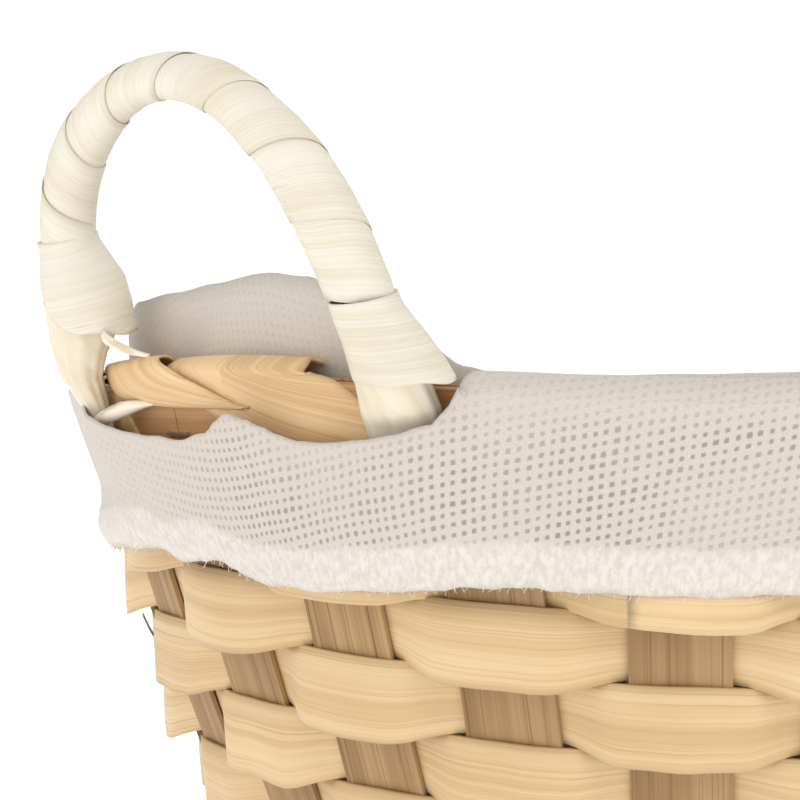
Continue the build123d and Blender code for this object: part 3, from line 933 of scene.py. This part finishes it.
def cuff(name, side, end, flare, top, mouth_marks):
    """A flared cuff on one leg, from its top down to its mouth.

    Angle 0 of a level section looks out of the loop and a quarter turn looks off the basket.
    """
    points, grain = [], []
    for j in range(cuff_stops + 1):
        share = j / cuff_stops
        for k in range(cuff_around + 1):
            angle = 2 * pi * k / cuff_around - pi / 2
            degree = 360 * k / cuff_around - 90
            mouth = float(np.interp(degree % 360, *zip(*mouth_marks))) + 0.0003 * sin(5 * angle + end)
            up = top + (mouth - top) * share
            middle, wide, deep = at_height(flare, up)
            lap = 0.0003 * k / cuff_around + 0.00018 * sin(7 * share + 3 * angle)
            across = end * (middle + (wide + lap) * cos(angle))
            points.append(handle_spot(side, across, up, (deep + lap) * sin(angle)))
            grain.append((angle * 0.008 + 0.2 * end, share * (top - mouth) + angle * 0.0006, share))
    row = cuff_around + 1
    faces = [
        (j * row + k, j * row + k + 1, (j + 1) * row + k + 1, (j + 1) * row + k)
        for j in range(cuff_stops)
        for k in range(cuff_around)
    ]
    obj = plain_mesh(name, points, faces)
    store(obj, "grain", grain)
    thicken(obj, cuff_leaf)
    obj.data.materials.append(leaf)
    return obj


# Each foot: its name, side of the basket, end of the handle, flare, top of the cuff and mouth.
feet = [
    ("left_front", -1, -1, near_flare, near_top, near_mouth),
    ("left_back", -1, 1, far_flare, far_top, far_mouth),
    ("right_back", 1, -1, near_flare, near_top, near_mouth),
    ("right_front", 1, 1, far_flare, far_top, far_mouth),
]
for foot_name, side, end, *shape in feet:
    piece = cuff(f"leaf_cuff_{foot_name}", side, end, *shape)
    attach(piece, "root")
    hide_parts(f"handle_cuff_{foot_name}")


# ---- foot straps ----
# Below each cuff a leaf is folded lengthwise round the foot and down behind the cloth, where it lies
# flatter. Its veins run along it. A spare end curls out over the rim beside each far foot.
near_strap = [
    (-0.0140, 0.0449, 0.0078, 0.0022),
    (-0.0110, 0.0452, 0.0083, 0.0030),
    (-0.0080, 0.0458, 0.0085, 0.0044),
    (-0.0020, 0.0466, 0.0078, 0.0055),
    (0.0060, 0.0466, 0.0072, 0.0060),
]
far_strap = [
    (-0.0140, 0.0490, 0.0034, 0.0018),
    (-0.0083, 0.0494, 0.0039, 0.0024),
    (-0.0016, 0.0503, 0.0048, 0.0036),
    (0.0037, 0.0489, 0.0063, 0.0052),
    (0.0080, 0.0465, 0.0077, 0.0066),
    (0.0170, 0.0452, 0.0082, 0.0072),
]
strap_stops, strap_lanes, strap_thickness = 30, 32, 0.0004
# The strap is open towards the basket: where it starts and how far round the foot it goes, in degrees.
strap_start, strap_round = -62, 304
strap_leaf = dried_leaf("strap_leaf", 1500, (0.94, 0.88, 0.755), (0.82, 0.725, 0.55))
for foot_name, side, end, flare, *rest in feet:
    table = near_strap if flare is near_flare else far_strap
    low, high = table[0][0], table[-1][0]
    lanes = []
    for j in range(strap_stops + 1):
        up = high + (low - high) * j / strap_stops
        middle, wide, deep = at_height(table, up)
        lane = []
        for k in range(strap_lanes + 1):
            angle = radians(strap_start + strap_round * k / strap_lanes)
            pleat = 0.00022 * sin(11 * angle + 60 * up) + 0.00016 * sin(23 * angle)
            tucked = min(1.0, max(0.0, (0.001 - up) / 0.012))
            out = (deep + pleat) * sin(angle) - tucked * (0.0012 + 0.34 * wide * (1 + cos(angle)) / 2)
            lane.append(handle_spot(side, end * (middle + (wide + pleat) * cos(angle)), up, out))
        lanes.append(lane)
    strap = closed_ribbon(f"leaf_strap_{foot_name}", lanes, strap_thickness, strap_leaf, 0.7 * end)
    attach(strap, "root")
    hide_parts(f"foot_strap_{foot_name}")


# Spare ends of leaf. Places across the handle and up it of an upper and a lower edge, then how far they
# lie off the handle's plane.
spare_stops, spare_lanes, spare_thickness = 16, 6, 0.0003
spare_ends = {
    "sliver": (
        [(0.0335, 0.0105), (0.0301, 0.0090), (0.0255, 0.0073), (0.0222, 0.0060), (0.0195, 0.0050)],
        [(0.0335, 0.0072), (0.0301, 0.0066), (0.0258, 0.0056), (0.0226, 0.0050), (0.0196, 0.0046)],
        0.0040,
    ),
    "curl": (
        [
            (0.0470, -0.0095), (0.0434, -0.0082), (0.0387, -0.0068), (0.0344, -0.0058), (0.0294, -0.0057),
            (0.0246, -0.0062),
        ],
        [
            (0.0470, -0.0120), (0.0439, -0.0112), (0.0410, -0.0107), (0.0360, -0.0094), (0.0300, -0.0077),
            (0.0247, -0.0066),
        ],
        0.0010,
    ),
}
for side_name, side in (("left", -1), ("right", 1)):
    for end_name, (upper, lower, out) in spare_ends.items():
        top_line, low_line = (
            smooth_line([handle_spot(side, across, up, out) for across, up in edge], spare_stops)
            for edge in (upper, lower)
        )
        lanes = []
        for k, (high_point, low_point) in enumerate(zip(top_line, low_line)):
            lift = 0.0012 * sin(pi * k / spare_stops)
            shares = [j / spare_lanes for j in range(spare_lanes + 1)]
            lanes.append([
                high_point.lerp(low_point, share) + handle_face(side) * (lift + 0.0009 * sin(pi * share))
                for share in shares
            ])
        start = 0.3 * spare_stops
        spare = closed_ribbon(f"leaf_{end_name}_{side_name}", lanes, spare_thickness, strap_leaf, start)
        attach(spare, "root")


# ---- liner base ----
# A round of open cotton gauze with small random ripples lies on the bottom strips. It is sewn to the
# side of the liner.
liner_gap = 0.0051
liner_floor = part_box("liner_base")[0][2]
cloth_pitch, cloth_thickness, cloth_lift = 0.00195, 0.0006, 0.0006


def gauze(name, pale, hole_shade, hole_share):
    """Open cotton gauze with painted shade in its holes. The map counts metres along the threads, and state
    holds how open the weave is, which also sets how strong the painted shade in the holes is, and the hem.
    """
    material, tree, shader = new_material(name, 0.92)
    feed(shader, {"Sheen Weight": 0.25, "Sheen Roughness": 0.6})
    u, v, w = split_vector(add(tree, "ShaderNodeUVMap", uv_map="threads").outputs[0])
    wander_u = noise_at(u * 55, v * 55, 0.0, 2) - 0.5
    wander_v = noise_at(u * 55, v * 55, 9.0, 2) - 0.5
    fine_u = noise_at(u * 420, v * 60, 3.0, 1) - 0.5
    fine_v = noise_at(u * 60, v * 420, 6.0, 1) - 0.5
    cells_u = ((u + wander_u * 0.0016 + fine_u * 0.0006) * (pi / cloth_pitch)).math("SINE").math("ABSOLUTE")
    cells_v = ((v + wander_v * 0.0016 + fine_v * 0.0006) * (pi / cloth_pitch)).math("SINE").math("ABSOLUTE")
    state = add(tree, "ShaderNodeAttribute", attribute_name="state").outputs["Vector"]
    openness_and_hole_shade, hem, unused = split_vector(state)
    patchy = noise_at(u * 34, v * 34, 4.4, 2)
    squarish = cells_u.math("MINIMUM", cells_v) * 0.6 + cells_u * cells_v * 0.4
    uneven = noise_at(u * 300, v * 300, 7.0, 1) * 0.4 - 0.2
    hole_depth = (squarish + uneven).ramp(hole_share, hole_share + 0.34)
    hole_shade_mask = hole_depth * openness_and_hole_shade * patchy.ramp(0.3, 0.62, 0.45, 1.0)
    fuzz = noise_at(u * 2600, v * 2600, 2.0, 3, 0.7)
    hem_fuzz = noise_at(u * 760, v * 420, 5.0, 3, 0.7)
    thread = mixed(fuzz.ramp(0.3, 0.7), pale, tuple(part * 0.86 for part in pale))
    # Painted shade: the holes are coloured dark for the shade seen through the open weave.
    cloth = mixed(hole_shade_mask, thread, hole_shade)
    hem_white = mixed(hem_fuzz.ramp(0.35, 0.65), (0.80, 0.765, 0.71), (0.67, 0.63, 0.575))
    whole = mixed(hem, cloth, hem_white)
    surface(shader, whole, hole_depth * openness_and_hole_shade * -0.25 + fuzz * 0.35 + hem * hem_fuzz * 0.4, 0.0004)
    return material


# The second colour is painted shade for the holes of the weave.
cotton = gauze("cotton_gauze", (0.70, 0.645, 0.58), (0.335, 0.27, 0.215), 0.6)


def dress(obj, threads, state, turn=None):
    """Writes the thread map and the state of the cloth onto a sheet, one value for each point.

    turn is what the map gains in one turn round a closed band of four-sided faces.
    """
    uv = obj.data.uv_layers.new(name="threads")
    corners = np.empty(len(obj.data.loops), dtype=np.int32)
    obj.data.loops.foreach_get("vertex_index", corners)
    mapped = np.asarray(threads, dtype=np.float32)[corners]
    if turn:
        quads = corners.reshape(-1, 4)
        crossing = quads.max(axis=1) - quads.min(axis=1) > len(threads) / 2
        mapped.reshape(-1, 4, 2)[crossing[:, None] & (quads < len(threads) / 2)] += turn
    uv.data.foreach_set("uv", mapped.ravel())
    store(obj, "state", state)


def cloth_wave(x, y, seed, size):
    """A soft random wave, about -1 to 1, for folds."""
    return noise.noise(Vector((x / size, y / size, seed)))


disc_radius = wall_radius_at(liner_floor) - liner_gap - 0.0003
disc_rings, disc_around = 34, 144
points, threads, faces = [(0, 0, liner_floor + cloth_lift)], [(0.0, 0.0)], []
for ring in range(1, disc_rings + 1):
    for k in range(disc_around):
        angle, reach = 2 * pi * k / disc_around, disc_radius * ring / disc_rings
        x, y = reach * cos(angle), reach * sin(angle)
        lift = cloth_lift + 0.0007 * (1 + cloth_wave(x, y, 3.0, 0.03)) * (1 - (ring / disc_rings) ** 4)
        points.append((x, y, liner_floor + lift))
        threads.append((x, y))
for k in range(disc_around):
    faces.append((0, 1 + k, 1 + (k + 1) % disc_around))
for ring in range(disc_rings - 1):
    for k in range(disc_around):
        a, b = 1 + ring * disc_around + k, 1 + ring * disc_around + (k + 1) % disc_around
        faces.append((a, a + disc_around, b + disc_around, b))
bottom = plain_mesh("liner_bottom", points, faces)
# The bottom's weave is half open, so its holes get painted shade at half strength.
dress(bottom, threads, [(0.5, 0.0, 0.0)] * len(points))
thicken(bottom, cloth_thickness)
bottom.data.materials.append(cotton)
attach(bottom, "root")
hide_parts("liner_base")
2 * disc_radius
2 * disc_radius
pi * disc_radius**2


# ---- liner side ----
# One band of gauze lines the wall, folds over the rim and hangs outside as a short skirt with a broad
# turned hem. At each handle the fold is slit: inside it stands up as a lip, outside it hangs lower.
columns, inner_rows, outer_rows = 540, 30, 30
slot_near, slot_far = -23.0, 22.8
hem_depth = 0.0088
# The height of the fold, how far below it the inner and the outer side end, the mean height of the hem
# and the depth of the skirt above it.
fold_height, inner_drop, outer_drop = 0.1346, 0.0058, 0.0045
skirt_level, skirt_depth = 0.0945, 0.0365
# Angles count from a handle's middle towards its far foot. First the top of the lip inside the handle,
# then the top edge of the skirt outside it.
lip_marks = [
    (-24, 0.1352), (-21, 0.1372), (-17, 0.1425), (-12, 0.1505), (-7, 0.1552), (-3, 0.1562),
    (4, 0.1545), (10, 0.1530), (17, 0.1515), (20, 0.1490), (22.3, 0.1385), (23, 0.1362),
]
edge_marks = [
    (-23.2, 0.1352), (-22.4, 0.1325), (-21.8, 0.1290), (-20.5, 0.1263), (-17.5, 0.1240), (-14.6, 0.1231),
    (-11.5, 0.1224), (-8.8, 0.1226), (-7.1, 0.1236), (-5.7, 0.1254), (-4.4, 0.1267), (-2.6, 0.1278),
    (-1.2, 0.1264), (0.9, 0.1238), (4.5, 0.1221), (8.0, 0.1226),
    (10.5, 0.1233), (14.0, 0.1244), (16.5, 0.1268), (19.0, 0.1290), (22.0, 0.1312), (23.0, 0.1346),
]
# How far the skirt stands off the wall: at its top, in its middle, at its flare and at its hem.
skirt_marks = [
    (-60, 0.0056, 0.0060, 0.0062, 0.0052),
    (-38, 0.0058, 0.0062, 0.0064, 0.0052),
    (-30, 0.0064, 0.0066, 0.0062, 0.0050),
    (-24, 0.0096, 0.0090, 0.0072, 0.0056),
    (-18, 0.0122, 0.0108, 0.0080, 0.0060),
    (-13, 0.0108, 0.0096, 0.0074, 0.0056),
    (-8, 0.0088, 0.0080, 0.0068, 0.0052),
    (-4, 0.0104, 0.0084, 0.0066, 0.0050),
    (0, 0.0090, 0.0080, 0.0066, 0.0050),
    (6, 0.0080, 0.0076, 0.0070, 0.0052),
    (11, 0.0100, 0.0088, 0.0086, 0.0066),
    (16, 0.0119, 0.0098, 0.0108, 0.0090),
    (20, 0.0096, 0.0072, 0.0108, 0.0078),
    (24, 0.0072, 0.0050, 0.0090, 0.0060),
    (30, 0.0054, 0.0036, 0.0078, 0.0042),
    (38, 0.0048, 0.0032, 0.0072, 0.0040),
    (60, 0.0055, 0.0056, 0.0064, 0.0050),
]
hem_marks = [
    (-60, 0.0948), (-46, 0.0946), (-40, 0.0940), (-35, 0.0943), (-28, 0.0946), (-24, 0.0948), (-21, 0.0952),
    (-19, 0.0940), (-12, 0.0929), (-6, 0.0922), (-2, 0.0923), (1.2, 0.0944), (2.2, 0.0958), (4.0, 0.0971),
    (7.5, 0.0966), (9.5, 0.0957), (12.5, 0.0984), (17, 0.0980), (22, 0.0972), (30, 0.0955), (60, 0.0946),
]
fold_path = [
    (-0.0048, -0.0034), (-0.0040, -0.0015), (-0.0026, -0.0004), (-0.0006, 0.0),
    (0.0016, -0.0002), (0.0034, -0.0011), (0.0047, -0.0025), (0.0053, -0.0040),
]


def from_marks(marks, angle, column=1):
    """A value between the marks on each side of an angle, easing from one to the next."""
    if angle <= marks[0][0]:
        return marks[0][column]
    for before, after in zip(marks, marks[1:]):
        if angle <= after[0]:
            share = (angle - before[0]) / (after[0] - before[0])
            return before[column] + (after[column] - before[column]) * share * share * (3 - 2 * share)
    return marks[-1][column]


def clamped(value):
    return min(1.0, max(0.0, value))


def liner_column(degree):
    """Points of the band at an angle as distance off the wall, height, how open the weave is (also the strength
    of the painted shade in its holes) and hem, with its slot.
    """
    from_handle = (degree + 90) % 180 - 90
    off = -from_handle
    in_slot = slot_near < off < slot_far
    arc = radians(degree) * rim_radius
    rise = rim_rise * 0.85 * cos(radians(degree)) ** rise_power
    peak = fold_height + rise + 0.0003 * cloth_wave(arc, 0, 1.0, 0.02)
    lip = max(from_marks(lip_marks, off), peak) if in_slot else peak
    raised = lip - peak
    cut_edge = from_marks(edge_marks, off) + 0.0004 * cloth_wave(arc, 0, 2.0, 0.006)
    edge = cut_edge if in_slot else peak - outer_drop
    hem_wave = 0.0007 * cloth_wave(arc, 0, 5.0, 0.012) + 0.0004 * cloth_wave(arc, 0, 6.0, 0.003)
    hem = from_marks(hem_marks, off) + hem_wave
    top_out, middle_out, flare_out, hem_out = (from_marks(skirt_marks, off, k) for k in (1, 2, 3, 4))
    # The third value of each point sets how open the weave is and how strong the painted shade in its holes is:
    # weak on the inner side and over the fold.
    column = []
    inner_top = lip if in_slot else lip - inner_drop
    for row in range(inner_rows + 1):
        share = row / inner_rows
        height = liner_floor + cloth_lift + (inner_top - liner_floor - cloth_lift) * share
        ripple = 0.0006 * cloth_wave(arc, height, 8.0, 0.035) + 0.0003 * cloth_wave(arc, height, 9.0, 0.014)
        sway = 0.0010 * max(0.0, (height - 0.135) / 0.02) * cloth_wave(arc, 0, 12.0, 0.02)
        column.append((-liner_gap - 0.0004 + ripple * clamped(share * 8) + sway, height, 0.16, 0.0))
    for k, (out, down) in enumerate(fold_path):
        wide = top_out / fold_path[-1][0] if out > 0 else 1.0
        column.append((out * wide, peak + down + raised * clamped(1 - k / 3), 0.4, 0.0))
    for row in range(outer_rows + 1):
        share = row / outer_rows
        height = edge + (hem - edge) * share
        level = (height - skirt_level) / skirt_depth
        to_hem = height - hem
        high = clamped((level - 0.45) / 0.45)
        low = (1 + cos(pi * clamped(level / 0.45))) / 2
        out = middle_out + (top_out - middle_out) * high + (flare_out - middle_out) * low
        out += (hem_out - flare_out) * clamped(1 - to_hem / 0.006) ** 2
        ripple = 0.0008 * cloth_wave(arc, height, 20.0, 0.030)
        ripple += 0.0004 * cloth_wave(arc, height * 0.6, 21.0, 0.011)
        out += max(ripple, -0.0002) * clamped(share * 6 + 0.2)
        out += 0.0009 * cloth_wave(arc, 0, 22.0, 0.014) * clamped(1 - to_hem / 0.014)
        in_hem = clamped((hem_depth - to_hem) / 0.0012 + 0.5)
        # Painted shade in the holes: 0.95 where the angle from a handle is below -2 degrees, falling to 0.23 by
        # 10 degrees, weaker towards the skirt's top edge, and none in the hem.
        openness_and_hole_shade = (0.95 - 0.72 * clamped((off + 2.0) / 12.0)) * clamped(share * 5 + 0.25) * (1 - in_hem)
        column.append((out + 0.0003 * in_hem, height, openness_and_hole_shade, in_hem))
    return column, in_slot


def thread_slant(degree):
    """How far the cross threads run out of level: the band is cut askew and is gathered at each far foot."""
    off = -((degree + 90) % 180 - 90)
    return 0.21 - 0.72 * clamped((off + 6) / 24) * clamped((60 - off) / 36)


fold_level = 0.1373
points, threads, state, slits = [], [], [], []
shift = 0.0
for step in range(columns):
    degree = 360 * step / columns
    column, in_slot = liner_column(degree)
    slits.append(in_slot)
    slant = thread_slant(degree)
    shift += slant * 2 * pi * rim_radius / columns
    for row, (out, height, openness_and_hole_shade, in_hem) in enumerate(column):
        reach = wall_radius_at(min(height, rim_height)) + max(0.0, height - rim_height) * 0.16 + out
        points.append((reach * cos(radians(degree)), reach * sin(radians(degree)), height))
        if row <= inner_rows:
            down = height - fold_level
        elif row <= inner_rows + len(fold_path):
            down = -0.0085 + 0.0157 * (row - inner_rows) / (len(fold_path) + 1)
        else:
            down = fold_level - height
        threads.append((radians(degree) * rim_radius + max(down, 0.0) * slant * 0.6, down + shift))
        state.append((openness_and_hole_shade, in_hem, 0.0))
rows = len(column)
faces = []
for step in range(columns):
    following = (step + 1) % columns
    for row in range(rows - 1):
        over_rim = inner_rows <= row <= inner_rows + len(fold_path)
        if over_rim and slits[step] and slits[following]:
            continue
        a, b = step * rows + row, following * rows + row
        faces.append((a, b, b + 1, a + 1))
used = np.unique(np.asarray(faces))
place_of = np.zeros(len(points), dtype=np.int64)
place_of[used] = np.arange(len(used))
band = plain_mesh("liner_band", np.asarray(points)[used], place_of[np.asarray(faces)].tolist())
dress(band, np.asarray(threads)[used], np.asarray(state)[used], turn=(2 * pi * rim_radius, shift))
thicken(band, cloth_thickness, even=False)
band.data.materials.append(cotton)
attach(band, "root")
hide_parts("liner_side_right", "liner_side_back", "liner_side_left", "liner_side_front")


# ---- hem fray ----
# Short loose ends of cotton hang from the lower edge of the hem, each one bent a little. They are
# the same thread as the cloth and move with it.
fray_length, fray_radius, fray_seed = 0.0020, 0.00008, 11
# How fast a thread bends, how far it leans in radians, and the length of the shortest as a share.
fray_bend, fray_tilt, fray_shortest = 320.0, 0.9, 0.35


def fray_tree():
    """Geometry nodes that hang a bent thread of its own length and direction from each point."""
    inputs = {"Length": fray_length, "Radius": fray_radius, "Seed": fray_seed, "Thread": None}
    tree, names, (roots, length, radius, seed, cotton_thread) = grow_tree("hem_fray", inputs, seeded=True)
    inputs = {"Vertices": 5, "Side Segments": 4, "Radius": radius, "Depth": length}
    straight = add(tree, "GeometryNodeMeshCylinder", inputs).outputs["Mesh"]
    x, y, z = split_vector(add(tree, "GeometryNodeInputPosition").outputs[0])
    bend = vector_of(tree, z * z * fray_bend, 0.0, length * -0.5)
    bent = add(tree, "GeometryNodeSetPosition", {"Geometry": straight, "Offset": bend})
    inputs = {0: (-fray_tilt, -fray_tilt, 0.0), 1: (fray_tilt, fray_tilt, 2 * pi), "Seed": seed}
    turned = add(tree, "FunctionNodeRandomValue", inputs, data_type="FLOAT_VECTOR")
    sized = add(tree, "FunctionNodeRandomValue", {2: fray_shortest, 3: 1.0, "Seed": seed})
    copies = add(tree, "GeometryNodeInstanceOnPoints", {
        "Points": roots,
        "Instance": bent.outputs[0],
        "Rotation": add(tree, "FunctionNodeEulerToRotation", {0: turned.outputs[0]}).outputs[0],
        "Scale": sized.outputs[1],
    })
    painted(tree, copies.outputs["Instances"], cotton_thread)
    return tree, names


fray_cotton, tree, shader = new_material("fray_cotton", 0.9)
spun = noise_field(tree, object_place(tree), 3, 0.6, 700.0)
feed(shader, {"Base Color": mixed(spun.ramp(0.35, 0.65), (0.82, 0.79, 0.735), (0.68, 0.64, 0.58))})
fray_points = [points[step * rows + rows - 1 - rise] for step in range(columns) for rise in (0, 1)]
fray_nodes, fray_inputs = fray_tree()
fray_seeds = plain_mesh("fray_points", fray_points, [])
fray = grown("hem_fray", fray_nodes, fray_inputs, {"Thread": fray_cotton}, fray_seeds)
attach(fray, "root")


# ---- finish ----
low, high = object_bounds()
